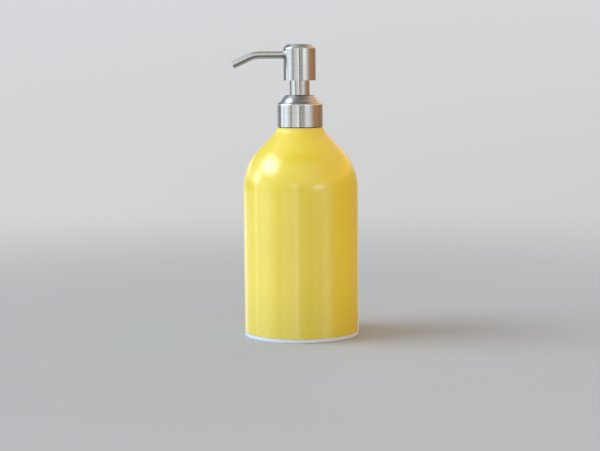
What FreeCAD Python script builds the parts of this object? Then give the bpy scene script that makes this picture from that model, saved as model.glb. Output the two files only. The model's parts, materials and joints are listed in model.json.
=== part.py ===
"""Pump bottle for dish soap: a glazed ceramic pot with a threaded ring bonded in its mouth, and a
stainless push-down pump that screws on to the ring.

Millimetres, +Z up. The origin is on the bottle's axis in the plane that it stands on, and the spout
points along -X. Every round piece is turned about Z from its half section, a list of (radius, height)
corners. A third number rounds the corner, and a fourth item, CUT, makes that a chamfer.
"""

import os
import FreeCAD
import Part
from math import cos, pi, radians, sin, sqrt, tan

V = FreeCAD.Vector
UP = V(0, 0, 1)
CUT = "cut"
SAME_POINT = 1e-6

# ---- ceramic bottle ----
BODY_R = 40.0
BOTTLE_H = 144.8
WALL = 4.0
FLOOR_T = 5.0
FOOT_H = 2.8
GLAZE_T = 0.2
FOOT_LAND = 4.5
FOOT_RECESS = 1.2
FOOT_ROUND = 0.5
FLOOR_COVE = 2.5
RIM_ROUND = 0.6
SHOULDER_ANGLE = 45.0
NECK_R = 16.2
NECK_STRAIGHT = 2.1
NECK_ROUND = 3.5
MOUTH_R = 12.9

# ---- threaded ring bonded in the mouth ----
RING_BORE_R = 10.5
RING_BOND = 0.15
RING_SPIGOT_H = 8.0
RING_FLANGE_R = 14.9
RING_FLANGE_T = 1.2
RING_THREAD_R = 12.55
RING_H = 10.2
BOND_GROOVE = 0.4
BOND_GROOVE_H = 3.0

# ---- collar: plastic nut in a stainless shell ----
COLLAR_R = 15.95
COLLAR_WALL = 0.5
COLLAR_GAP = 0.6
COLLAR_TURN_R = 2.1
COLLAR_STEP_H = 5.0
COLLAR_HEADROOM = 2.3
DOME_BREAK_R = 12.1
DOME_BREAK_H = 2.4
DOME_TOP_R = 9.85
DOME_ROUND = 10.0
DOME_TOP_ROUND = 1.0
NUT_BORE_R = 13.95
NUT_WEB_T = 1.8
NUT_FIT = 0.05
NUT_SHOULDER = 1.2
NUT_RISE = 1.0
TURN_PLAY = 0.3

# ---- pump housing ----
GASKET_T = 1.2
GASKET_LAP = 0.2
FLANGE_R = 13.2
FLANGE_T = 1.6
BARREL_R = 7.15
BARREL_WALL = 1.25
NECK_FIT = 0.5
NECK_TAPER_DROP = 1.5
SPRING_LEDGE_DROP = 30.5
BALL_CHAMBER_H = 7.0
BALL_CHAMBER_WALL = 2.0
VENT_R = 0.6
NIBS = 3
NIB_T = 1.0
NIB_GRIP = 1.0

# ---- retainer that closes the barrel ----
RETAINER_WALL = 1.0
RETAINER_SKIRT_STEP = 0.6
RETAINER_FLOOR_T = 1.5
RETAINER_SKIRT_H = 8.7
RETAINER_RIM_T = 1.0
RETAINER_RIM_GRIP = 1.4
GUIDE_H = 10.0
GUIDE_WALL = 1.5
PRESS_FIT = 0.05

# ---- piston, rod and spring ----
STROKE = 9.5
STROKE_STOP = 0.5
ROD_R = 3.7
ROD_BORE_R = 1.8
ROD_FIT = 0.06
ROD_COLLAR_R = 5.0
ROD_FOOT_R = 5.8
ROD_COLLAR_T = 1.2
SEAL_H = 6.0
SEAL_FIT = 0.04
SEAL_PLAY = 0.06
SEAL_WAIST = 1.3
SEAL_LIP_H = 1.6
SEAL_LIP_T = 0.8
SEAL_LAND = 0.8
SEAL_GROOVE_H = 0.8
SEAL_GROOVE_W = 1.0
SPRING_R = 4.9
SPRING_WIRE_R = 0.5
SPRING_TURNS = 6.0
SPRING_END_FIT = 0.05
WIRE_SIDES = 6

# ---- valves and dip tube ----
INLET_BALL_R = 2.5
OUTLET_BALL_R = 2.6
BALL_FIT = 0.05
BALL_ROOM = 0.7
OUTLET_LIFT = 1.5
INLET_THROAT_R = 1.5
INLET_THROAT_H = 2.2
TUBE_R = 3.0
TUBE_WALL = 1.0
TUBE_SOCKET_H = 10.5
TUBE_SOCKET_WALL = 1.5
TUBE_SOCKET_TOP = 1.0
TUBE_FIT = 0.05
TUBE_END_GAP = 2.0

# ---- head ----
STEM_R = 6.95
STEM_WALL = 0.5
STEM_TOP_IN_HEAD = 6.8
STEM_FIT = 0.35
STEM_END_GAP = 1.0
HEAD_R = 11.35
HEAD_H = 24.8
HEAD_WALL = 0.6
HEAD_BEVEL_R = 3.0
HEAD_BEVEL_H = 2.5
HEAD_EDGE = 0.8
CORE_FIT = 0.05
CORE_RECESS = 1.5
CORE_WALL = 1.5
CORE_TOP_T = 3.2
CORE_HUB_DROP = 3.2
CORE_RIBS = 6
FIRST_RIB_ANGLE = 30.0
CORE_RIB_T = 1.0
RIB_BITE = 0.5
ROD_IN_HEAD = 11.8

# ---- spout ----
SPOUT_R = 2.55
SPOUT_WALL = 0.5
SPOUT_DROP = 7.2
SPOUT_ROOT_X = 4.3
SPOUT_STRAIGHT_X = 27.7
SPOUT_BEND_R = 17.0
SPOUT_BEND_ANGLE = 25.0
SPOUT_END = 12.4
SPOUT_BOSS_WALL = 1.6
SPOUT_BOSS_INSET = 0.3

# ---- broken edges ----
EDGE = 0.3
FINE_EDGE = 0.2

# ---- heights of the stack ----
floor_z = FOOT_RECESS + FLOOR_T
ring_top = BOTTLE_H + RING_H
flange_z = ring_top + GASKET_T
flange_top = flange_z + FLANGE_T
web_z = flange_top + TURN_PLAY
housing_top = web_z + NUT_WEB_T + TURN_PLAY
collar_z = BOTTLE_H + COLLAR_GAP
collar_top = web_z + NUT_WEB_T + COLLAR_HEADROOM + COLLAR_STEP_H
head_z = collar_top + STROKE + STROKE_STOP
head_top = head_z + HEAD_H
spout_z = head_top - SPOUT_DROP
retainer_floor = housing_top - RETAINER_SKIRT_H
rod_collar_top = retainer_floor - SEAL_PLAY
seal_top = rod_collar_top - ROD_COLLAR_T - SEAL_PLAY
seal_z = seal_top - SEAL_H
rod_foot_z = seal_z - SEAL_PLAY - ROD_COLLAR_T
ledge_z = retainer_floor - SPRING_LEDGE_DROP
inlet_seat_z = ledge_z - BALL_CHAMBER_H
tube_top = inlet_seat_z - INLET_THROAT_H
core_z = head_z + CORE_RECESS
hub_z = head_z - CORE_HUB_DROP
rod_top = head_z + ROD_IN_HEAD
outlet_seat_z = rod_top - OUTLET_LIFT - OUTLET_BALL_R * (1 + sqrt(2)) + ROD_BORE_R
chamber_r = INLET_BALL_R + BALL_ROOM
cup_r = OUTLET_BALL_R + BALL_ROOM / 2


# ---- helpers ----
def point(r, z):
    return V(r, 0, z)


def corner(before, at, after, rounding):
    """The two ends and the middle of the arc that rounds a corner."""
    to_before, to_after = (before - at).normalize(), (after - at).normalize()
    half = to_before.getAngle(to_after) / 2
    reach = rounding / tan(half)
    centre = at + (to_before + to_after).normalize() * (rounding / sin(half))
    middle = centre + (at - centre).normalize() * rounding
    return at + to_before * reach, middle, at + to_after * reach


def outline(profile):
    """A closed wire through the corners, with each sized corner rounded or cut straight across."""
    corners = [point(*c[:2]) for c in profile]
    arcs = []
    for i, c in enumerate(profile):
        rounding = c[2] if len(c) > 2 else 0
        if rounding:
            arcs.append(corner(corners[i - 1], corners[i], corners[(i + 1) % len(corners)], rounding))
        else:
            arcs.append((corners[i],) * 3)
    edges = []
    for i, (start, middle, end) in enumerate(arcs):
        if start.distanceToPoint(end) > SAME_POINT:
            straight = CUT in profile[i]
            edge = Part.LineSegment(start, end) if straight else Part.Arc(start, middle, end)
            edges.append(edge.toShape())
        following = arcs[(i + 1) % len(arcs)][0]
        if end.distanceToPoint(following) > SAME_POINT:
            edges.append(Part.LineSegment(end, following).toShape())
    return Part.Wire(edges)


def turned(profile):
    return Part.Face(outline(profile)).revolve(V(), UP, 360)


def chamfered(profile):
    """The same profile with every rounding made a chamfer, for what shows only when taken apart."""
    return [(*c[:3], CUT) if len(c) > 2 else c for c in profile]


def moulded(profile):
    return turned(chamfered(profile))


def inset(profile, distance):
    """The same open profile moved to the left of its own direction, with its roundings kept concentric."""
    corners = [point(*c[:2]) for c in profile]
    ways = [(b - a).normalize() for a, b in zip(corners, corners[1:])]
    moved = []
    for i, c in enumerate(profile):
        before, after = ways[max(i - 1, 0)], ways[min(i, len(ways) - 1)]
        left = [V(-w.z, 0, w.x) for w in (before, after)]
        half = before.getAngle(after) / 2
        at = corners[i] + (left[0] + left[1]).normalize() * (distance / cos(half))
        turns_left = before.z * after.x - before.x * after.z < 0
        rounding = c[2] if len(c) > 2 else 0
        if rounding:
            rounding = max(rounding - distance, 0) if turns_left else rounding + distance
        moved.append((at.x, at.z, rounding))
    return moved


def tube(outer_r, inner_r, z0, z1):
    return turned([(inner_r, z0), (outer_r, z0), (outer_r, z1), (inner_r, z1)])


def rod_along(start, way, radius, length):
    return Part.makeCylinder(radius, length, start, way)


def around(shape, count, first=0.0):
    """Copies of a shape turned about the axis."""
    copies = []
    for i in range(count):
        copy = shape.copy()
        copy.rotate(V(), UP, first + 360.0 * i / count)
        copies.append(copy)
    return copies


# ---- ceramic bottle ----
def bottle():
    slope = tan(radians(SHOULDER_ANGLE))
    cone_top = BOTTLE_H - NECK_STRAIGHT
    inner_r = BODY_R - WALL
    cone_drop = WALL / cos(radians(SHOULDER_ANGLE))
    foot_r = BODY_R - GLAZE_T
    land_r = foot_r - FOOT_LAND
    return turned([
        (0, FOOT_RECESS),
        (land_r - FOOT_RECESS, FOOT_RECESS),
        (land_r, 0, FOOT_ROUND, CUT),
        (foot_r, 0, FOOT_ROUND),
        (foot_r, FOOT_H),
        (BODY_R, FOOT_H + GLAZE_T, GLAZE_T, CUT),
        (BODY_R, cone_top - (BODY_R - NECK_R) * slope, BODY_R),
        (NECK_R, cone_top, NECK_ROUND),
        (NECK_R, BOTTLE_H, RIM_ROUND, CUT),
        (MOUTH_R, BOTTLE_H),
        (MOUTH_R, cone_top + (NECK_R - MOUTH_R) * slope - cone_drop),
        (inner_r, cone_top - (inner_r - NECK_R) * slope - cone_drop, inner_r),
        (inner_r, floor_z + FLOOR_COVE),
        (inner_r - FLOOR_COVE, floor_z),
        (0, floor_z),
    ])


def neck_ring():
    spigot_r = MOUTH_R - RING_BOND
    spigot_z = BOTTLE_H - RING_SPIGOT_H
    groove_r = spigot_r - BOND_GROOVE
    groove_z = spigot_z + (RING_SPIGOT_H - BOND_GROOVE_H) / 2
    return moulded([
        (RING_BORE_R, spigot_z),
        (spigot_r, spigot_z, EDGE),
        (spigot_r, groove_z),
        (groove_r, groove_z),
        (groove_r, groove_z + BOND_GROOVE_H),
        (spigot_r, groove_z + BOND_GROOVE_H),
        (spigot_r, BOTTLE_H),
        (RING_FLANGE_R, BOTTLE_H),
        (RING_FLANGE_R, BOTTLE_H + RING_FLANGE_T, EDGE),
        (RING_THREAD_R, BOTTLE_H + RING_FLANGE_T),
        (RING_THREAD_R, ring_top, EDGE),
        (RING_BORE_R, ring_top, EDGE),
    ])


# ---- collar ----
def collar_outline():
    """The outside of the collar, from its bottom edge up to the axis."""
    step_z = collar_top - COLLAR_STEP_H
    return [
        (COLLAR_R, collar_z),
        (COLLAR_R, step_z, COLLAR_TURN_R),
        (COLLAR_R - COLLAR_TURN_R, step_z),
        (DOME_BREAK_R, collar_top - DOME_BREAK_H, DOME_ROUND),
        (DOME_TOP_R, collar_top, DOME_TOP_ROUND),
        (STEM_R + STEM_FIT, collar_top),
    ]


def collar_shell():
    outside = collar_outline()
    return turned(outside + chamfered(inset(outside, COLLAR_WALL))[::-1])


def collar_nut():
    outer_r = COLLAR_R - COLLAR_WALL - NUT_FIT
    nut_z = collar_z + NUT_RISE
    web_top = web_z + NUT_WEB_T
    return moulded([
        (NUT_BORE_R, nut_z, EDGE),
        (outer_r, nut_z, EDGE),
        (outer_r, web_top, NUT_SHOULDER),
        (web_hole_r(), web_top),
        (web_hole_r(), web_z),
        (NUT_BORE_R, web_z),
    ])


# ---- pump housing ----
def retainer_skirt_r():
    return STEM_R + STEM_FIT + RETAINER_WALL + RETAINER_SKIRT_STEP


def housing_neck_r():
    return retainer_skirt_r() + PRESS_FIT + RETAINER_WALL


def web_hole_r():
    return housing_neck_r() + TURN_PLAY


def gasket():
    return tube(RING_THREAD_R, RING_BORE_R - GASKET_LAP, ring_top, flange_z)


def pump_housing():
    upper_r = RING_BORE_R - NECK_FIT
    barrel_r = BARREL_R + BARREL_WALL
    chamber_outer_r = chamber_r + BALL_CHAMBER_WALL
    socket_r = TUBE_R + TUBE_SOCKET_WALL
    bore_r = retainer_skirt_r() + PRESS_FIT
    taper_z = retainer_floor - NECK_TAPER_DROP
    tube_z = tube_top - TUBE_SOCKET_H
    socket_top = tube_top + TUBE_SOCKET_TOP
    housing = moulded([
        (TUBE_R, tube_z, FINE_EDGE),
        (socket_r, tube_z, EDGE),
        (socket_r, socket_top),
        (chamber_outer_r, socket_top + (chamber_outer_r - socket_r)),
        (chamber_outer_r, ledge_z - (barrel_r - chamber_outer_r)),
        (barrel_r, ledge_z),
        (barrel_r, taper_z - (upper_r - barrel_r)),
        (upper_r, taper_z),
        (upper_r, flange_z),
        (FLANGE_R, flange_z, FINE_EDGE),
        (FLANGE_R, flange_top, FINE_EDGE),
        (housing_neck_r(), flange_top),
        (housing_neck_r(), housing_top, FINE_EDGE),
        (bore_r, housing_top),
        (bore_r, retainer_floor),
        (BARREL_R, retainer_floor, FINE_EDGE),
        (BARREL_R, ledge_z),
        (chamber_r, ledge_z),
        (chamber_r, inlet_seat_z + chamber_r - INLET_THROAT_R),
        (INLET_THROAT_R, inlet_seat_z),
        (INLET_THROAT_R, tube_top),
        (TUBE_R, tube_top),
    ])
    vent = rod_along(V(0, 0, seal_z + SEAL_H / 2), V(0, 1, 0), VENT_R, 2 * barrel_r)
    nib_x = INLET_BALL_R - NIB_GRIP
    nib = Part.makeBox(chamber_r - nib_x + RIB_BITE, NIB_T, NIB_T, V(nib_x, -NIB_T / 2, ledge_z - NIB_T))
    return housing.cut(vent).fuse(around(nib, NIBS)).removeSplitter()


def retainer():
    """The barrel's lid: a skirt pressed in the housing, a rim over the nut's web and a guide for the rod."""
    well_r = STEM_R + STEM_FIT
    skirt_r = retainer_skirt_r()
    guide_r = ROD_R + ROD_FIT
    rim_r = web_hole_r() + RETAINER_RIM_GRIP
    rim_top = housing_top + RETAINER_RIM_T
    top = collar_top - COLLAR_WALL - TURN_PLAY
    well_z = retainer_floor + RETAINER_FLOOR_T
    return moulded([
        (guide_r, retainer_floor),
        (skirt_r, retainer_floor, EDGE),
        (skirt_r, housing_top),
        (rim_r, housing_top),
        (rim_r, rim_top, EDGE),
        (well_r + RETAINER_WALL, rim_top),
        (well_r + RETAINER_WALL, top, FINE_EDGE),
        (well_r, top, FINE_EDGE),
        (well_r, well_z),
        (guide_r + GUIDE_WALL, well_z),
        (guide_r + GUIDE_WALL, well_z + GUIDE_H, EDGE),
        (guide_r, well_z + GUIDE_H, EDGE),
    ])


# ---- piston, rod and spring ----
def piston_seal():
    """A sleeve on the rod with a lip at each end that wipes the barrel."""
    lip_r = BARREL_R - SEAL_FIT
    bore_r = ROD_R + ROD_FIT
    waist_r = lip_r - SEAL_WAIST
    groove_r = lip_r - SEAL_LIP_T
    return moulded([
        (bore_r, seal_z),
        (groove_r - SEAL_GROOVE_W, seal_z),
        (groove_r - SEAL_GROOVE_W / 2, seal_z + SEAL_GROOVE_H),
        (groove_r, seal_z),
        (lip_r, seal_z),
        (lip_r, seal_z + SEAL_LAND),
        (waist_r, seal_z + SEAL_LIP_H),
        (waist_r, seal_top - SEAL_LIP_H),
        (lip_r, seal_top - SEAL_LAND),
        (lip_r, seal_top),
        (groove_r, seal_top),
        (groove_r - SEAL_GROOVE_W / 2, seal_top - SEAL_GROOVE_H),
        (groove_r - SEAL_GROOVE_W, seal_top),
        (bore_r, seal_top),
    ])


def piston_rod():
    return moulded([
        (ROD_BORE_R, rod_foot_z),
        (ROD_FOOT_R, rod_foot_z, EDGE),
        (ROD_FOOT_R, rod_foot_z + ROD_COLLAR_T, EDGE),
        (ROD_R, rod_foot_z + ROD_COLLAR_T),
        (ROD_R, rod_collar_top - ROD_COLLAR_T),
        (ROD_COLLAR_R, rod_collar_top - ROD_COLLAR_T),
        (ROD_COLLAR_R, rod_collar_top, EDGE),
        (ROD_R, rod_collar_top),
        (ROD_R, rod_top, FINE_EDGE),
        (cup_r, rod_top),
        (cup_r, outlet_seat_z + cup_r - ROD_BORE_R),
        (ROD_BORE_R, outlet_seat_z),
    ])


def return_spring():
    """A coil of wire with both ends ground flat, between the housing's ledge and the rod's foot."""
    height = rod_foot_z - ledge_z
    helix = Part.makeHelix(height / SPRING_TURNS, height, SPRING_R)
    angles = [2 * pi * i / WIRE_SIDES for i in range(WIRE_SIDES + 1)]
    corners = [point(SPRING_R + SPRING_WIRE_R * cos(a), SPRING_WIRE_R * sin(a)) for a in angles]
    section = Part.makePolygon(corners)
    coil = Part.Wire(helix).makePipeShell([section], True, True)
    coil.translate(V(0, 0, ledge_z))
    free_length = height - 2 * SPRING_END_FIT
    return coil.common(Part.makeCylinder(2 * SPRING_R, free_length, V(0, 0, ledge_z + SPRING_END_FIT)))


# ---- valves and dip tube ----
def ball(radius, seat_z, throat_r):
    """A ball that rests in a 45 degree seat, whose throat has the given radius and height."""
    z = seat_z - throat_r + radius * sqrt(2) + BALL_FIT
    return Part.makeSphere(radius, V(0, 0, z))


def inlet_ball():
    return ball(INLET_BALL_R, inlet_seat_z, INLET_THROAT_R)


def outlet_ball():
    return ball(OUTLET_BALL_R, outlet_seat_z, ROD_BORE_R)


def dip_tube():
    outer_r = TUBE_R - TUBE_FIT
    return tube(outer_r, outer_r - TUBE_WALL, floor_z + TUBE_END_GAP, tube_top)


# ---- head ----
def head_outline(wall):
    """The outside of the head, or a line inside its wall, from the bottom edge to the axis."""
    outside = [
        (HEAD_R, head_z),
        (HEAD_R, head_top - HEAD_BEVEL_H, HEAD_EDGE),
        (HEAD_R - HEAD_BEVEL_R, head_top, HEAD_EDGE),
        (0, head_top),
    ]
    return inset(outside, wall) if wall else outside


def spout_hole(radius):
    return rod_along(V(0, 0, spout_z), V(-1, 0, 0), radius, 2 * HEAD_R)


def head_shell():
    shell = turned(head_outline(0) + chamfered(head_outline(HEAD_WALL))[::-1])
    return shell.cut(spout_hole(SPOUT_R + CORE_FIT))


def head_core():
    """The insert: a hub on the rod, a wall inside the shell, ribs between them and the spout's channel."""
    outside = head_outline(HEAD_WALL + CORE_FIT)
    outer_r = outside[0][0]
    wall_r = outer_r - CORE_WALL
    hub_r = STEM_R - STEM_WALL - CORE_FIT
    socket_r = ROD_R + CORE_FIT
    pocket_top = head_top - HEAD_WALL - CORE_TOP_T
    stem_top = head_z + STEM_TOP_IN_HEAD
    rib_z = stem_top + CORE_FIT
    core = moulded([
        (0, hub_z),
        (hub_r, hub_z),
        (hub_r, pocket_top),
        (wall_r, pocket_top),
        (wall_r, core_z),
        (outer_r, core_z),
    ] + outside[1:])
    rib_reach = wall_r - hub_r + 2 * RIB_BITE
    rib_h = pocket_top - rib_z + RIB_BITE
    rib = Part.makeBox(rib_reach, CORE_RIB_T, rib_h, V(hub_r - RIB_BITE, -CORE_RIB_T / 2, rib_z))
    boss = rod_along(V(0, 0, spout_z), V(-1, 0, 0), SPOUT_R + SPOUT_BOSS_WALL, outer_r - SPOUT_BOSS_INSET)
    boss = boss.common(Part.makeCylinder(outer_r, HEAD_H, V(0, 0, rib_z)))
    core = core.fuse(around(rib, CORE_RIBS, FIRST_RIB_ANGLE) + [boss])
    bore = Part.makeCylinder(socket_r, rod_top + CORE_FIT - hub_z, V(0, 0, hub_z))
    channel = Part.makeCylinder(ROD_BORE_R, spout_z - rod_top, V(0, 0, rod_top))
    turn = Part.makeSphere(ROD_BORE_R, V(0, 0, spout_z))
    across = rod_along(V(0, 0, spout_z), V(-1, 0, 0), ROD_BORE_R, SPOUT_ROOT_X)
    seat = rod_along(V(CORE_FIT - SPOUT_ROOT_X, 0, spout_z), V(-1, 0, 0), SPOUT_R + CORE_FIT, HEAD_R)
    return core.cut([bore, channel, turn, across, seat]).removeSplitter()


def stem_sleeve():
    stem_z = retainer_floor + RETAINER_FLOOR_T + STROKE + STEM_END_GAP
    return tube(STEM_R, STEM_R - STEM_WALL, stem_z, head_z + STEM_TOP_IN_HEAD)


def spout_path():
    """Straight out of the head, one bend downwards and a straight end."""
    angle = radians(SPOUT_BEND_ANGLE)
    root = V(-SPOUT_ROOT_X, 0, spout_z)
    bend_start = V(-SPOUT_STRAIGHT_X, 0, spout_z)

    def on_bend(turned_by):
        return bend_start + V(-SPOUT_BEND_R * sin(turned_by), 0, -SPOUT_BEND_R * (1 - cos(turned_by)))

    bend_end = on_bend(angle)
    tip = bend_end + V(-cos(angle), 0, -sin(angle)) * SPOUT_END
    return Part.Wire([
        Part.LineSegment(root, bend_start).toShape(),
        Part.Arc(bend_start, on_bend(angle / 2), bend_end).toShape(),
        Part.LineSegment(bend_end, tip).toShape(),
    ])


def spout():
    path = spout_path()
    root = V(-SPOUT_ROOT_X, 0, spout_z)
    ends = [Part.Wire(Part.makeCircle(r, root, V(-1, 0, 0))) for r in (SPOUT_R, SPOUT_R - SPOUT_WALL)]
    outer, inner = [path.makePipeShell([end], True, False) for end in ends]
    return outer.cut(inner)


PIECES = [
    bottle, neck_ring, gasket, collar_shell, collar_nut,
    pump_housing, retainer, piston_seal, piston_rod, return_spring,
    inlet_ball, outlet_ball, dip_tube,
    head_shell, head_core, stem_sleeve, spout,
]


def main():
    os.makedirs("parts", exist_ok=True)
    for piece in PIECES:
        shape = piece()
        shape.exportStep(f"parts/{piece.__name__}.step")
        box = shape.BoundBox
        print(f"{piece.__name__:14s} valid {shape.isValid()} solids {len(shape.Solids)} "
              f"volume {shape.Volume:9.1f} z {box.ZMin:.2f} to {box.ZMax:.2f}")


main()
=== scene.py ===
"""Dresses the soap pump bottle: glaze and bare clay, brushed and polished steel, moulded plastic, the
spring and the screw threads, on a plain pale floor in a softly lit room. Metres, +Z up, the spout along
-X."""

import json
from math import pi, radians

import bpy
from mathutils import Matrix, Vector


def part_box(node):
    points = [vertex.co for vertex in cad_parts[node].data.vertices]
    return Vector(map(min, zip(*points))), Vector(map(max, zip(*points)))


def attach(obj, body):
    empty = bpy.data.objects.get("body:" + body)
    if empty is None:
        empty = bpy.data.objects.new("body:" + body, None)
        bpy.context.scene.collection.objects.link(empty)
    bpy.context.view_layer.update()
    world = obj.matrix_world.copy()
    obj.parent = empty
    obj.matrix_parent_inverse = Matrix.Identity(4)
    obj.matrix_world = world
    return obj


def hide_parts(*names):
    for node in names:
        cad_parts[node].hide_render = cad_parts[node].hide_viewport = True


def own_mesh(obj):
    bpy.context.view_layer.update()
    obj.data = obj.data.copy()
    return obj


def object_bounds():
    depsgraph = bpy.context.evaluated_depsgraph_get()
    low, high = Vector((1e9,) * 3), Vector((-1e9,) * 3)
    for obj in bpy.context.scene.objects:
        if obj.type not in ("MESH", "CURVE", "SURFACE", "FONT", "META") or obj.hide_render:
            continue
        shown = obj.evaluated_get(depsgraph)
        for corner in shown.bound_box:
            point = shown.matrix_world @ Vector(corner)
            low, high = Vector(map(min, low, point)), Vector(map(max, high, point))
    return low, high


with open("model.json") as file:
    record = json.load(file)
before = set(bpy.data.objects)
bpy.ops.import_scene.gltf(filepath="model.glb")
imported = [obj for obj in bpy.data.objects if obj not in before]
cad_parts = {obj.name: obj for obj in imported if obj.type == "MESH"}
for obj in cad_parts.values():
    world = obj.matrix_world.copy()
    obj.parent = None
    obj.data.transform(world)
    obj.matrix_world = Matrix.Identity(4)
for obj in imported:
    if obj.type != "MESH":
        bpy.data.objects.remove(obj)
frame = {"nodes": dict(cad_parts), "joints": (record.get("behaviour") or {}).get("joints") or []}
CAD_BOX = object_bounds()

bl_info = {
    "name": "Soap Pump Bottle",
    "version": (1, 0, 0),
    "blender": (4, 5, 0),
    "location": "View3D > Sidebar > Soap Bottle",
    "description": "Glazed soap bottle with a stainless push pump, dressed around its solid model",
    "category": "Object",
}

FULL_TURN = 2 * pi


def top_of(node):
    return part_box(node)[1][2]


def bottom_of(node):
    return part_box(node)[0][2]


def radius_of(node):
    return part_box(node)[1][1]


# ---- settings ------------------------------------------------------------------------------------
def length(name, description, default):
    return bpy.props.FloatProperty(
        name=name, description=description, default=default, unit="LENGTH", precision=5)


def colour(name, description, default):
    return bpy.props.FloatVectorProperty(
        name=name, description=description, default=default, size=3, subtype="COLOR", min=0.0, max=1.0)


def share(name, description, default):
    return bpy.props.FloatProperty(
        name=name, description=description, default=default, subtype="FACTOR", min=0.0, max=1.0)


def angle(name, description, degrees):
    return bpy.props.FloatProperty(
        name=name, description=description, default=radians(degrees), subtype="ANGLE")


class BottleLooks(bpy.types.PropertyGroup):
    """Colours and finish of the glazed pot"""

    glaze: colour("Glaze", "Colour of the yellow glaze", (0.905, 0.705, 0.054))
    glaze_thin: colour("Thin glaze", "Colour where the glaze runs thin over an edge", (0.92, 0.80, 0.26))
    clay: colour("Bare clay", "Colour of the unglazed foot", (0.74, 0.79, 0.85))
    glaze_roughness: share("Glaze roughness", "How soft the glaze's highlights are", 0.17)
    collar_roughness: share("Collar roughness", "Roughness added to the glaze under the collar", 0.35)
    clay_roughness: share("Clay roughness", "Roughness of the unglazed foot", 0.62)
    foot_height: length("Foot height", "Height at which the glaze stops", 0.0029)


class SteelLooks(bpy.types.PropertyGroup):
    """Colours and finish of the steel parts"""

    steel: colour("Steel", "Colour of the stainless steel", (0.63, 0.615, 0.595))
    brushed_roughness: share("Brushed roughness", "Roughness of the brushed shells", 0.17)
    polished_roughness: share("Polished roughness", "Roughness of the stem and the balls", 0.10)
    satin_roughness: share("Satin roughness", "Roughness of the spout", 0.40)
    spring_roughness: share("Spring roughness", "Roughness of the spring's wire", 0.22)
    # The underside colour is a painted reflection: a cooler, greyer tone where the spout faces down.
    underside: colour("Underside", "Colour of the spout's underside", (0.44, 0.46, 0.60))
    line_spacing: length("Line spacing", "Distance between the brush lines", 0.00025)


class PlasticLooks(bpy.types.PropertyGroup):
    """Colours and finish of the moulded parts"""

    black: colour("Black plastic", "Colour of the ring, the nut and the head's core", (0.018, 0.018, 0.02))
    natural: colour("Natural plastic", "Colour of the barrel, the rod and the tube", (0.76, 0.77, 0.75))
    seal: colour("Seal", "Colour of the piston seal", (0.80, 0.80, 0.77))
    rubber: colour("Washer", "Colour of the sealing washer", (0.55, 0.55, 0.53))
    black_roughness: share("Black roughness", "Roughness of the black plastic", 0.48)
    natural_roughness: share("Natural roughness", "Roughness of the natural plastic", 0.34)
    seal_roughness: share("Seal roughness", "Roughness of the piston seal", 0.42)
    rubber_roughness: share("Washer roughness", "Roughness of the sealing washer", 0.62)


class PumpSizes(bpy.types.PropertyGroup):
    """Sizes of the pieces that are modelled here"""

    spring_wire: length("Spring wire", "Diameter of the return spring's wire", 0.001)
    spring_turns: bpy.props.IntProperty(
        name="Spring turns", description="Turns of the return spring", default=6)
    thread_pitch: length("Thread pitch", "Rise of the screw thread in one turn", 0.00423)
    thread_depth: length("Thread depth", "How far a thread stands out from its wall", 0.0012)
    thread_root: length("Thread root", "Height of a thread's foot along the axis", 0.0019)
    thread_crest: length("Thread crest", "Height of a thread's top along the axis", 0.0009)


class StudioSettings(bpy.types.PropertyGroup):
    """The camera, the floor and the backdrop"""

    camera_distance: length("Camera distance", "From the bottle's axis to the camera", 1.035)
    camera_height: length("Camera height", "Height of the camera over the floor", 0.188)
    camera_side: length("Camera side", "How far the camera stands to the right of the axis", -0.0007)
    camera_pitch: angle("Camera pitch", "Downward tilt of the camera", 6.16)
    camera_roll: angle("Camera roll", "Roll of the camera", 0.54)
    camera_lens: bpy.props.FloatProperty(
        name="Lens", description="Focal length in millimetres", default=89.46)
    floor: colour("Floor", "Colour of the floor", (0.50, 0.51, 0.535))
    backdrop_left: colour("Backdrop left", "Cooler side of the backdrop", (0.645, 0.662, 0.672))
    backdrop_right: colour("Backdrop right", "Warmer side of the backdrop", (0.630, 0.622, 0.605))
    backdrop_top: colour("Backdrop top", "Brighter upper part of the backdrop", (0.685, 0.692, 0.718))


def settings(name):
    return getattr(bpy.context.scene, name)


# ---- shader graphs -------------------------------------------------------------------------------
class Value:
    """A socket that takes part in arithmetic: each operation adds its Math node."""

    def __init__(self, graph, socket):
        self.graph, self.socket = graph, socket

    def __add__(self, other):
        return self.graph.math("ADD", self, other)

    def __sub__(self, other):
        return self.graph.math("SUBTRACT", self, other)

    def __rsub__(self, other):
        return self.graph.math("SUBTRACT", other, self)

    def __mul__(self, other):
        return self.graph.math("MULTIPLY", self, other)

    def __truediv__(self, other):
        return self.graph.math("DIVIDE", self, other)

    __radd__, __rmul__ = __add__, __mul__


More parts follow.
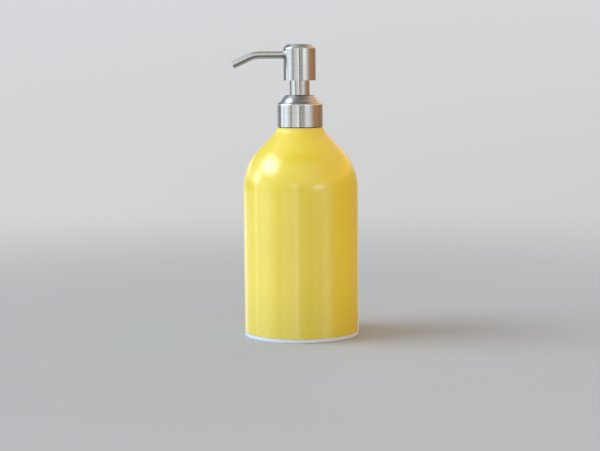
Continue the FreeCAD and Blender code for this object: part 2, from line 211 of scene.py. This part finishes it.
class Graph:
    """A node tree that is filled from nothing."""

    def __init__(self, tree):
        self.tree = tree
        tree.nodes.clear()

    def feed(self, socket, value):
        if isinstance(value, Value):
            self.tree.links.new(value.socket, socket)
        elif isinstance(value, bpy.types.NodeSocket):
            self.tree.links.new(value, socket)
        else:
            socket.default_value = value

    def node(self, kind, inputs=None, **options):
        """Adds a node: its options first, then its sockets by name or number."""
        node = self.tree.nodes.new(kind)
        for option, value in options.items():
            setattr(node, option, value)
        for key, value in (inputs or {}).items():
            self.feed(node.inputs[key], value)
        return node

    def value(self, kind, output=0, inputs=None, **options):
        return Value(self, self.node(kind, inputs, **options).outputs[output])

    def math(self, operation, *values):
        return self.value("ShaderNodeMath", 0, dict(enumerate(values)), operation=operation)

    def smooth(self, value, low, high):
        """0 below low and 1 above high, with soft ends."""
        return self.value("ShaderNodeMapRange", 0, {0: value, 1: low, 2: high},
                          interpolation_type="SMOOTHSTEP")

    def between(self, value, low, high, soft):
        """1 from low to high and 0 outside, with each end spread over soft either way."""
        past_low = self.smooth(value, low - soft, low + soft)
        past_high = self.smooth(value, high - soft, high + soft)
        return past_low * (1.0 - past_high)

    def mix(self, share_of_second, first, second):
        sockets = {0: share_of_second, 6: first, 7: second}
        return self.node("ShaderNodeMix", sockets, data_type="RGBA").outputs[2]

    def mix_shader(self, share_of_second, first, second):
        return self.node("ShaderNodeMixShader", {0: share_of_second, 1: first, 2: second}).outputs[0]

    def place(self, kind="Object"):
        """Coordinates, the object's own unless another kind is named, and their three parts."""
        vector = self.node("ShaderNodeTexCoord").outputs[kind]
        parts = self.node("ShaderNodeSeparateXYZ", {0: vector})
        return vector, [Value(self, socket) for socket in parts.outputs]

    def facing_up(self):
        """1 where the surface faces straight up, 0 where it is upright, -1 where it faces straight down."""
        return self.place("Normal")[1][2]

    def from_axis(self, x, y):
        """Distance from the upright axis."""
        return self.math("SQRT", x * x + y * y)

    def join(self, x, y, z):
        return self.node("ShaderNodeCombineXYZ", {0: x, 1: y, 2: z}).outputs[0]

    def noise(self, vector, scale, detail=2.0, roughness=0.5):
        sockets = {"Vector": vector, "Scale": scale, "Detail": detail, "Roughness": roughness}
        return self.value("ShaderNodeTexNoise", 0, sockets)

    def bump(self, height, distance):
        sockets = {"Height": height, "Distance": distance, "Strength": 1.0}
        return self.node("ShaderNodeBump", sockets).outputs[0]


def opaque(tone, brightness=1.0):
    """The tone as a full colour, times a brightness."""
    return (*(part * brightness for part in tone), 1.0)


def new_material(name):
    material = bpy.data.materials.new(name)
    material.use_nodes = True
    return material, Graph(material.node_tree)


def finish_material(graph, **sockets):
    """Adds the shader with these sockets, named with underscores for spaces, and the output."""
    named = {name.replace("_", " "): value for name, value in sockets.items()}
    shader = graph.node("ShaderNodeBsdfPrincipled", named)
    graph.node("ShaderNodeOutputMaterial", {0: shader.outputs[0]})


# ---- materials -----------------------------------------------------------------------------------
BLACK = (0.0, 0.0, 0.0)
GLAZE_IOR = 1.8
# The glaze's lower edge: how far it wanders up and down, how soft it is, and between which heights over it
# the deeper glaze ends.
EDGE_WANDER, EDGE_SOFT, DEEP_FROM, DEEP_TO = 0.0003, 0.00008, 0.0003, 0.0009
# Where the thin glaze starts under the lip, and where the duller glaze starts and is full under the collar.
THIN_FROM, DULL_FROM, DULL_TO = 0.0007, 0.0085, 0.0025
# The shade at the stem's foot: how far it goes under and over the collar's lip, how soft that is, and between
# which places across it sets in.
SHADE_UNDER, SHADE_OVER, SHADE_SOFT = 0.0005, 0.0001, 0.0002
SHADE_LEFT, SHADE_RIGHT = -0.006, -0.003
# How deep the fine lines of each steel finish are.
BRUSHED_LINES, POLISHED_LINES, DRAWN_LINES = 0.000012, 0.000001, 0.000002


def glazed_pot():
    """Yellow glaze on white clay: it stops over a bare foot, is deeper just over that edge and darker towards
    the bottom, thins over the lip and is duller under the collar."""
    looks = settings("bottle_looks")
    material, graph = new_material("glazed_pot")
    vector, (x, y, z) = graph.place()
    foot, lip, collar_foot = looks.foot_height, top_of("bottle"), bottom_of("collar_shell")
    mouth_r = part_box("neck_ring")[1][0]
    uneven_z = z + (graph.noise(vector, 45.0) - 0.5) * EDGE_WANDER
    glazed = graph.smooth(uneven_z, foot - EDGE_SOFT, foot + EDGE_SOFT)
    bare = 1.0 - glazed
    at_foot = 1.0 - graph.smooth(uneven_z, foot + DEEP_FROM, foot + DEEP_TO)
    at_lip = graph.smooth(z, lip - THIN_FROM, lip)
    at_collar = graph.smooth(z, collar_foot - DULL_FROM, collar_foot - DULL_TO)
    # Darker towards the bottom of the body.
    low_on_body = 1.0 - graph.smooth(z, -0.012, 0.045)
    inside = 1.0 - graph.smooth(graph.from_axis(x, y), mouth_r * 0.5, mouth_r * 0.9)
    cloud = graph.noise(vector, 28.0, 3.0)
    skin = graph.noise(vector, 90.0)
    grain = graph.noise(vector, 2600.0)
    clouded = graph.smooth(cloud, 0.45, 0.75) * 0.35
    glaze = graph.mix(at_lip * 0.7, opaque(looks.glaze), opaque(looks.glaze_thin))
    for where, brightness in ((clouded, 0.93), (low_on_body, 0.85), (at_foot, 0.78)):
        glaze = graph.mix(where, glaze, opaque(looks.glaze, brightness))
    clay = graph.mix(grain * 0.18, opaque(looks.clay), opaque(looks.clay, 0.8))
    base = graph.mix(glazed * (1.0 - inside), clay, glaze)
    glaze_rough = looks.glaze_roughness + at_collar * looks.collar_roughness + (cloud - 0.5) * 0.06
    rough = glazed * glaze_rough + bare * looks.clay_roughness
    height = glazed * skin * 0.00005 + bare * grain * 0.00003
    finish_material(graph, Base_Color=base, Roughness=rough, IOR=GLAZE_IOR, Normal=graph.bump(height, 1.0))
    return material


def turned_steel(name, roughness, depth, brightness=1.0):
    """Stainless steel with fine lines that run round the axis, as a lathe or a belt leaves them. Slopes carry
    a little painted shade, and painted shade darkens the stem's foot at the collar's lip, except on the
    spout's side."""
    looks = settings("steel_looks")
    material, graph = new_material(name)
    vector, (x, y, z) = graph.place()
    run = (z + graph.from_axis(x, y)) / looks.line_spacing
    lines = graph.noise(graph.join(x * 40.0, y * 40.0, run), 1.0, 2.0, 0.6)
    broad = graph.noise(graph.join(x * 15.0, y * 15.0, run * 0.12), 1.0)
    smudge = graph.noise(vector, 60.0)
    in_lines = graph.smooth(lines, 0.35, 0.75) * 0.5 + graph.smooth(broad, 0.4, 0.8) * 0.3
    base = graph.mix(in_lines, opaque(looks.steel, brightness), opaque(looks.steel, brightness * 0.86))
    # Painted shade: upward-facing slopes are darkened a little (and made a little rougher).
    sloping = graph.smooth(graph.facing_up(), 0.15, 0.5)
    lip = top_of("collar_shell")
    # Painted shade: a dark ring round the stem's foot at the collar's lip, left open on the spout's side.
    stem_foot = graph.between(z, lip - SHADE_UNDER, lip + SHADE_OVER, SHADE_SOFT)
    stem_foot = stem_foot * graph.smooth(x, SHADE_LEFT, SHADE_RIGHT)
    base = graph.mix(sloping * 0.14 + stem_foot * 0.45, base, opaque(BLACK))
    rough = roughness + (lines - 0.5) * 0.08 + (smudge - 0.5) * 0.05 + sloping * 0.08
    finish_material(graph, Base_Color=base, Metallic=1.0, Roughness=rough, Anisotropic=0.7,
                    Anisotropic_Rotation=0.25, Normal=graph.bump(lines * depth + broad * depth, 1.0))
    return material


def satin_steel():
    """The spout's tube: a satin finish with lines along it, a painted reflection on its underside, which is
    cooler in colour and less metallic, a painted shade line low on each side, and painted shade that darkens
    its top a little."""
    looks = settings("steel_looks")
    material, graph = new_material("satin_steel")
    vector, (x, y, z) = graph.place()
    along = graph.noise(graph.join(x * 300.0, y * 4000.0, z * 4000.0), 1.0)
    cloud = graph.noise(vector, 120.0)
    facing_up = graph.facing_up()
    facing_down = 0.0 - facing_up
    below = graph.smooth(facing_down, 0.15, 0.6)
    flank = graph.between(facing_down, 0.10, 0.57, 0.08)
    above = graph.smooth(facing_up, 0.2, 0.7)
    base = graph.mix(graph.smooth(along, 0.35, 0.7) * 0.5, opaque(looks.steel), opaque(looks.steel, 0.88))
    # Painted reflection: the downward-facing side takes a cooler colour and, in the shader, less metal.
    base = graph.mix(below, base, opaque(looks.underside))
    # Painted shade: a dark line low on each side of the tube.
    base = graph.mix(flank * 0.62, base, opaque(BLACK))
    # Painted shade: the upward-facing top is a little darker.
    base = graph.mix(above, base, opaque(looks.steel, 0.8))
    rough = looks.satin_roughness + (along - 0.5) * 0.10 + (cloud - 0.5) * 0.05
    finish_material(graph, Base_Color=base, Metallic=1.0 - below * 0.55, Roughness=rough, Coat_Weight=0.6,
                    Coat_Roughness=0.6, Coat_IOR=2.0, Normal=graph.bump(along, DRAWN_LINES))
    return material


def moulded(name, base_colour, roughness, grain_scale=1500.0, depth=0.000015, **extra):
    """Moulded plastic: a fine grain and a faint unevenness in tone."""
    material, graph = new_material(name)
    vector, _ = graph.place()
    grain = graph.noise(vector, grain_scale)
    flow = graph.noise(vector, 70.0)
    base = graph.mix(graph.smooth(flow, 0.35, 0.7) * 0.5, opaque(base_colour), opaque(base_colour, 0.85))
    rough = roughness + (flow - 0.5) * 0.10 + (grain - 0.5) * 0.06
    finish_material(graph, Base_Color=base, Roughness=rough, Normal=graph.bump(grain, depth), **extra)
    return material


def paint(material, *nodes):
    """Gives the material to every slot of the solids."""
    for node in nodes:
        for slot in frame["nodes"][node].material_slots:
            slot.material = material


# ---- modelling helpers ---------------------------------------------------------------------------
TURN_STEPS = 48
SMOOTH_ANGLE = radians(35)


def deselect_all():
    if bpy.context.mode != "OBJECT":
        bpy.ops.object.mode_set(mode="OBJECT")
    bpy.ops.object.select_all(action="DESELECT")


def settle(name):
    """Names the new object and moves its place into its mesh."""
    piece = bpy.context.object
    piece.name = name
    bpy.ops.object.transform_apply(location=True, rotation=True, scale=True)
    return piece


def apply_modifier(piece, kind, **options):
    """Adds a modifier to the active object and applies it."""
    modifier = piece.modifiers.new(kind.title(), kind)
    for option, value in options.items():
        setattr(modifier, option, value)
    bpy.ops.object.modifier_apply(modifier=modifier.name)


def close_ends():
    """Fills every open loop and turns the faces outwards."""
    bpy.ops.object.mode_set(mode="EDIT")
    bpy.ops.mesh.select_all(action="SELECT")
    bpy.ops.mesh.remove_doubles(threshold=1e-6)
    bpy.ops.mesh.select_all(action="DESELECT")
    bpy.ops.mesh.select_non_manifold()
    bpy.ops.mesh.edge_face_add()
    bpy.ops.mesh.select_all(action="SELECT")
    bpy.ops.mesh.normals_make_consistent(inside=False)
    bpy.ops.object.mode_set(mode="OBJECT")


def cut_level(height, keep_above):
    """Cuts the mesh at a level, as grinding does, and closes the cut."""
    bpy.ops.object.mode_set(mode="EDIT")
    bpy.ops.mesh.select_all(action="SELECT")
    bpy.ops.mesh.bisect(plane_co=(0, 0, height), plane_no=(0, 0, 1), use_fill=True,
                        clear_inner=keep_above, clear_outer=not keep_above)
    bpy.ops.object.mode_set(mode="OBJECT")


def wind(piece, turns, rise, repeats=1):
    """Turns the active piece's outline round the axis while it rises, and closes the two ends."""
    steps = int(TURN_STEPS * turns)
    apply_modifier(piece, "SCREW", axis="Z", angle=FULL_TURN * turns, steps=steps, render_steps=steps,
                   iterations=repeats, screw_offset=rise, use_merge_vertices=True)
    close_ends()


def smooth(piece):
    deselect_all()
    piece.select_set(True)
    bpy.context.view_layer.objects.active = piece
    bpy.ops.object.shade_smooth_by_angle(angle=SMOOTH_ANGLE)


def give_material(piece, material):
    piece.data.materials.clear()
    piece.data.materials.append(material)


# ---- operators -----------------------------------------------------------------------------------
WIRE_SIDES = 16
# The threads: their turns, the play between them, how far above the nut's foot they start, how deep they sink
# into their wall, and how round their corners are.
NECK_TURNS, NUT_TURNS = 1.5, 1.25
THREAD_PLAY, THREAD_START, THREAD_SINK, THREAD_ROUND = 0.0002, 0.0016, 0.0001, 0.00015


class SOAP_OT_glaze_bottle(bpy.types.Operator):
    """Glaze the pot down to its bare foot"""

    bl_idname = "soap.glaze_bottle"
    bl_label = "Glaze Bottle"

    def execute(self, context):
        paint(glazed_pot(), "bottle")
        return {"FINISHED"}


class SOAP_OT_finish_steel(bpy.types.Operator):
    """Brush the shells, polish the stem and the balls, satin the spout"""

    bl_idname = "soap.finish_steel"
    bl_label = "Finish Steel"

    def execute(self, context):
        looks = settings("steel_looks")
        brushed = turned_steel("brushed_steel", looks.brushed_roughness, BRUSHED_LINES)
        polished = turned_steel("polished_steel", looks.polished_roughness, POLISHED_LINES, brightness=1.06)
        paint(brushed, "collar_shell", "head_shell")
        paint(polished, "stem_sleeve", "inlet_ball", "outlet_ball")
        paint(satin_steel(), "spout")
        return {"FINISHED"}


class SOAP_OT_finish_plastic(bpy.types.Operator):
    """Colour the moulded parts, the seal and the washer"""

    bl_idname = "soap.finish_plastic"
    bl_label = "Finish Plastic"

    def execute(self, context):
        looks = settings("plastic_looks")
        black = moulded("black_plastic", looks.black, looks.black_roughness)
        natural = moulded("natural_plastic", looks.natural, looks.natural_roughness, grain_scale=700.0,
                          depth=0.000008, Subsurface_Weight=0.25, Subsurface_Radius=(0.002, 0.002, 0.002))
        seal = moulded("soft_seal", looks.seal, looks.seal_roughness)
        rubber = moulded("washer_rubber", looks.rubber, looks.rubber_roughness, grain_scale=900.0,
                         depth=0.00003)
        paint(black, "neck_ring", "collar_nut", "head_core")
        paint(natural, "pump_housing", "retainer", "piston_rod", "dip_tube")
        paint(seal, "piston_seal")
        paint(rubber, "gasket")
        return {"FINISHED"}


class SOAP_OT_wind_spring(bpy.types.Operator):
    """Wind the return spring and grind its ends flat"""

    bl_idname = "soap.wind_spring"
    bl_label = "Wind Spring"

    def execute(self, context):
        sizes = settings("pump_sizes")
        low, high = bottom_of("return_spring"), top_of("return_spring")
        wire_r = sizes.spring_wire / 2
        coil_r = radius_of("return_spring") - wire_r
        deselect_all()
        bpy.ops.mesh.primitive_circle_add(vertices=WIRE_SIDES, radius=wire_r, location=(coil_r, 0, low),
                                          rotation=(pi / 2, 0, 0))
        spring = settle("coil_spring")
        wind(spring, 1, (high - low) / sizes.spring_turns, sizes.spring_turns)
        cut_level(low, True)
        cut_level(high, False)
        smooth(spring)
        roughness = settings("steel_looks").spring_roughness
        give_material(spring, turned_steel("spring_steel", roughness, DRAWN_LINES))
        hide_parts("return_spring")
        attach(spring, "pump")
        stroke = next(joint for joint in frame["joints"] if joint["name"] == "pump_stroke")
        travel = abs(stroke["range_m"][0])
        1 - travel / (high - low)
        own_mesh(spring)
        return {"FINISHED"}


def screw_thread(name, wall_r, reach, start, turns, material_name, body):
    """A ridge that winds up a wall: outwards from it if reach is positive, inwards if it is negative."""
    sizes, looks = settings("pump_sizes"), settings("plastic_looks")
    deselect_all()
    bpy.ops.mesh.primitive_plane_add(
        size=1.0, location=(wall_r + reach / 2, 0, start), rotation=(pi / 2, 0, 0))
    ridge = bpy.context.object
    ridge.scale = (abs(reach), sizes.thread_root, 1)
    ridge = settle(name)
    crest_r = wall_r + reach
    bpy.ops.object.mode_set(mode="EDIT")
    bpy.ops.mesh.delete(type="ONLY_FACE")
    bpy.ops.mesh.select_all(action="DESELECT")
    bpy.ops.object.mode_set(mode="OBJECT")
    for vertex in ridge.data.vertices:
        vertex.select = abs(vertex.co.x - crest_r) < abs(reach) / 4
    bpy.ops.object.mode_set(mode="EDIT")
    bpy.ops.transform.resize(value=(1, 1, sizes.thread_crest / sizes.thread_root),
                             center_override=(crest_r, 0, start))
    bpy.ops.object.mode_set(mode="OBJECT")
    wind(ridge, turns, sizes.thread_pitch * turns)
    apply_modifier(ridge, "BEVEL", width=THREAD_ROUND, segments=2, limit_method="ANGLE",
                   angle_limit=radians(40))
    smooth(ridge)
    give_material(ridge, moulded(material_name, looks.black, looks.black_roughness))
    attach(ridge, body)


class SOAP_OT_cut_threads(bpy.types.Operator):
    """Add the screw threads to the neck ring and the collar nut"""

    bl_idname = "soap.cut_threads"
    bl_label = "Cut Threads"

    def execute(self, context):
        sizes = settings("pump_sizes")
        # The washer is as wide as the ring that carries the thread.
        neck_wall = radius_of("gasket")
        nut_wall = neck_wall + sizes.thread_depth + THREAD_PLAY
        neck_start = bottom_of("collar_nut") + THREAD_START
        nut_start = neck_start + sizes.thread_pitch / 2
        screw_thread("neck_thread", neck_wall - THREAD_SINK, sizes.thread_depth, neck_start, NECK_TURNS,
                     "ring_thread_plastic", "bottle")
        screw_thread("nut_thread", nut_wall + THREAD_SINK, -sizes.thread_depth, nut_start, NUT_TURNS,
                     "nut_thread_plastic", "collar")
        return {"FINISHED"}


# ---- stage ---------------------------------------------------------------------------------------
FLOOR_RADIUS = 1.0
FLOOR_SIDES = 96
# What stands round the room at eye level: its middle in degrees, 0 behind the camera and -90 to the left,
# half its width, the softness of its sides, and its light.
ROOM = [
    ("pale wall", -8, 60, 8, (0.82, 0.835, 0.84)),
    ("corner in shade", -125, 15, 5, (0.20, 0.21, 0.225)),
    ("near window", -101.0, 3.8, 3, (1.74, 1.90, 2.02)),
    ("window bar", -90, 3.5, 4, (0.78, 0.88, 0.97)),
    ("far window", -75, 12, 6, (1.14, 1.31, 1.47)),
    ("window frame", -45.5, 5, 5, (0.28, 0.315, 0.34)),
    ("door edge", -9.5, 3.8, 3, (1.20, 1.19, 1.17)),
    ("door gap", 0.3, 3.9, 1.5, (0.03, 0.03, 0.03)),
    ("door", 14, 11, 5, (0.53, 0.52, 0.51)),
    ("side window", 37.5, 7, 4.5, (0.74, 0.73, 0.71)),
    ("timber wall", 110, 43, 12, (0.51, 0.28, 0.145)),
    ("timber in shade", 116, 9, 8, (0.39, 0.225, 0.13)),
    ("end of the timber", 134, 9, 7, (0.38, 0.28, 0.215)),
]
# The light over eye level: a cool wall on the left, a paler one behind the camera, timber on the right that
# is brightest low down, and a dim corner at the back on the left.
COOL_WALL, PALE_WALL, DIM_CORNER = (0.60, 0.78, 0.94), (0.96, 0.92, 0.83), (0.28, 0.35, 0.43)
LOW_TIMBER, HIGH_TIMBER = (1.9, 1.06, 0.36), (0.92, 0.70, 0.48)
# The ceiling on the left, on the right and over the camera, the shade under eye level, and the floor.
CEILING_LEFT, CEILING_RIGHT, CEILING_FRONT = (0.75, 0.77, 0.78), (0.42, 0.38, 0.35), (0.19, 0.17, 0.15)
LOW_SHADE, ROOM_FLOOR = (0.13, 0.125, 0.10), (0.40, 0.40, 0.41)
# Bright panes: how strong, their left and right ends, their lower and upper ends and the softness of both,
# in degrees.
PANE_TONE = (0.83, 0.92, 1.0)
PANES = [
    ("high window", 7.7, -107, -62, 27, 48, 15, 11),
    ("skylight", 0.3, -165, -113, 46, 64, 10, 6),
    ("tall window", 3.3, -112, -92, 7, 21, 7, 4),
    ("light in the corner", 0.8, -156, -110, 5, 13, 6, 2),
    ("low sill", 0.8, -156, -108, -13, -4.2, 8, 1.5),
    ("pale bench", 0.5, -100, -8, -13, -4.5, 8, 1.5),
    ("door light", 1.0, -22, -2, 6, 13, 6, 2),
    ("light under the door", 0.5, -12, 6, -13, -4.5, 4, 1.5),
    ("side window light", 2.9, 25, 47, 3, 8.5, 5, 2),
    ("side window on the bench", 0.5, 44, 60, -13, -4.5, 5, 1.5),
    ("pale wall behind", 0.3, 138, 160, 5, 18, 6, 3),
]


def room_world():
    """A room seen in the gloss and felt as light: walls and windows round it, a ceiling, a floor and a
    bright pane high on the left. The camera alone sees a plain pale backdrop."""
    studio = settings("studio")
    world = bpy.data.worlds.new("room")
    world.use_nodes = True
    bpy.context.scene.world = world
    graph = Graph(world.node_tree)
    _, (x, y, z) = graph.place("Generated")
    to_camera_side = 0.0 - y
    azimuth = graph.math("ARCTAN2", x, to_camera_side) * (180.0 / pi)
    elevation = graph.math("ARCSINE", z) * (180.0 / pi)
    to_left, downward = 0.0 - azimuth, 0.0 - elevation
    rightward = graph.smooth(x, -0.22, 0.22)
    plain = graph.mix(rightward, opaque(studio.backdrop_left), opaque(studio.backdrop_right))
    plain = graph.mix(graph.smooth(z, -0.12, 0.10), plain, opaque(studio.backdrop_top))
    light = plain
    for _, middle, half_width, soft, tone in ROOM:
        seen = graph.between(azimuth, middle - half_width, middle + half_width, soft)
        light = graph.mix(seen, light, opaque(tone))
    timber = graph.mix(graph.smooth(elevation, 8.0, 34.0), opaque(LOW_TIMBER), opaque(HIGH_TIMBER))
    upper = graph.mix(graph.smooth(azimuth, -60.0, 0.0), opaque(COOL_WALL), opaque(PALE_WALL))
    upper = graph.mix(graph.between(azimuth, 45.0, 155.0, 20.0), upper, timber)
    upper = graph.mix(graph.smooth(to_left, 115.0, 140.0), upper, opaque(DIM_CORNER))
    ceiling = graph.mix(graph.smooth(x, -0.35, 0.2), opaque(CEILING_LEFT), opaque(CEILING_RIGHT))
    ceiling = graph.mix(graph.smooth(to_camera_side, 0.08, 0.24), ceiling, opaque(CEILING_FRONT))
    light = graph.mix(graph.smooth(elevation, 7.0, 16.0), light, upper)
    light = graph.mix(graph.smooth(elevation, 42.0, 66.0), light, ceiling)
    light = graph.mix(graph.smooth(downward, 7.0, 20.0), light, opaque(LOW_SHADE))
    light = graph.mix(graph.smooth(downward, 24.0, 46.0), light, opaque(ROOM_FLOOR))
    lit = graph.node("ShaderNodeBackground", {0: light}).outputs[0]
    for _, strength, left, right, low, high, side_soft, end_soft in PANES:
        across = graph.between(azimuth, left, right, side_soft)
        upwards = graph.between(elevation, low, high, end_soft)
        power = across * upwards * strength
        glow = graph.node("ShaderNodeBackground", {0: opaque(PANE_TONE), 1: power}).outputs[0]
        lit = graph.node("ShaderNodeAddShader", {0: lit, 1: glow}).outputs[0]
    plain = graph.node("ShaderNodeBackground", {0: plain}).outputs[0]
    to_camera = graph.value("ShaderNodeLightPath", "Is Camera Ray")
    graph.node("ShaderNodeOutputWorld", {0: graph.mix_shader(to_camera, lit, plain)})


def floor_material():
    """A plain pale floor that thins out into the backdrop far from the bottle."""
    studio = settings("studio")
    material, graph = new_material("floor")
    vector, (x, y, _) = graph.place()
    far = graph.smooth(graph.from_axis(x, y), 0.25, 0.95)
    mottle = graph.noise(vector, 14.0, 3.0)
    tone = graph.mix(mottle * 0.12, opaque(studio.floor), opaque(studio.floor, 0.9))
    solid = graph.node("ShaderNodeBsdfDiffuse", {0: tone}).outputs[0]
    clear = graph.node("ShaderNodeBsdfTransparent").outputs[0]
    graph.node("ShaderNodeOutputMaterial", {0: graph.mix_shader(far, solid, clear)})
    return material


class SOAP_OT_set_stage(bpy.types.Operator):
    """Lay the floor, light the room and place the camera"""

    bl_idname = "soap.set_stage"
    bl_label = "Set Stage"

    def execute(self, context):
        studio = settings("studio")
        deselect_all()
        floor_z = CAD_BOX[0][2]
        bpy.ops.mesh.primitive_circle_add(
            vertices=FLOOR_SIDES, radius=FLOOR_RADIUS, location=(0, 0, floor_z), fill_type="NGON")
        floor = settle("floor")
        floor.data.materials.append(floor_material())
        floor.visible_glossy = False
        room_world()
        bpy.ops.object.camera_add(
            location=(studio.camera_side, -studio.camera_distance, floor_z + studio.camera_height),
            rotation=(pi / 2 - studio.camera_pitch, 0, 0))
        camera = context.object
        camera.name = "camera"
        camera.rotation_euler.rotate_axis("Z", -studio.camera_roll)
        camera.data.lens = studio.camera_lens
        camera.data.clip_start = 0.01
        context.scene.camera = camera
        context.scene.view_settings.view_transform = "Standard"
        return {"FINISHED"}


class SOAP_PT_bottle(bpy.types.Panel):
    """Buttons for each step and the settings behind them"""

    bl_idname = "SOAP_PT_bottle"
    bl_label = "Soap Pump Bottle"
    bl_space_type = "VIEW_3D"
    bl_region_type = "UI"
    bl_category = "Soap Bottle"

    def draw(self, context):
        for operator in OPERATORS:
            self.layout.operator(operator.bl_idname)
        for name, group in GROUPS.items():
            box = self.layout.box()
            box.label(text=group.__doc__)
            for setting in group.__annotations__:
                box.prop(getattr(context.scene, name), setting)


GROUPS = {
    "bottle_looks": BottleLooks,
    "steel_looks": SteelLooks,
    "plastic_looks": PlasticLooks,
    "pump_sizes": PumpSizes,
    "studio": StudioSettings,
}
OPERATORS = [
    SOAP_OT_glaze_bottle,
    SOAP_OT_finish_steel,
    SOAP_OT_finish_plastic,
    SOAP_OT_wind_spring,
    SOAP_OT_cut_threads,
    SOAP_OT_set_stage,
]


def register():
    for group in [*GROUPS.values(), *OPERATORS, SOAP_PT_bottle]:
        bpy.utils.register_class(group)
    for name, group in GROUPS.items():
        setattr(bpy.types.Scene, name, bpy.props.PointerProperty(type=group))


def unregister():
    for name in GROUPS:
        delattr(bpy.types.Scene, name)
    for group in [SOAP_PT_bottle, *reversed(OPERATORS), *GROUPS.values()]:
        bpy.utils.unregister_class(group)


def main():
    register()
    for operator in OPERATORS:
        family, action = operator.bl_idname.split(".")
        getattr(getattr(bpy.ops, family), action)()


if __name__ == "__main__":
    main()
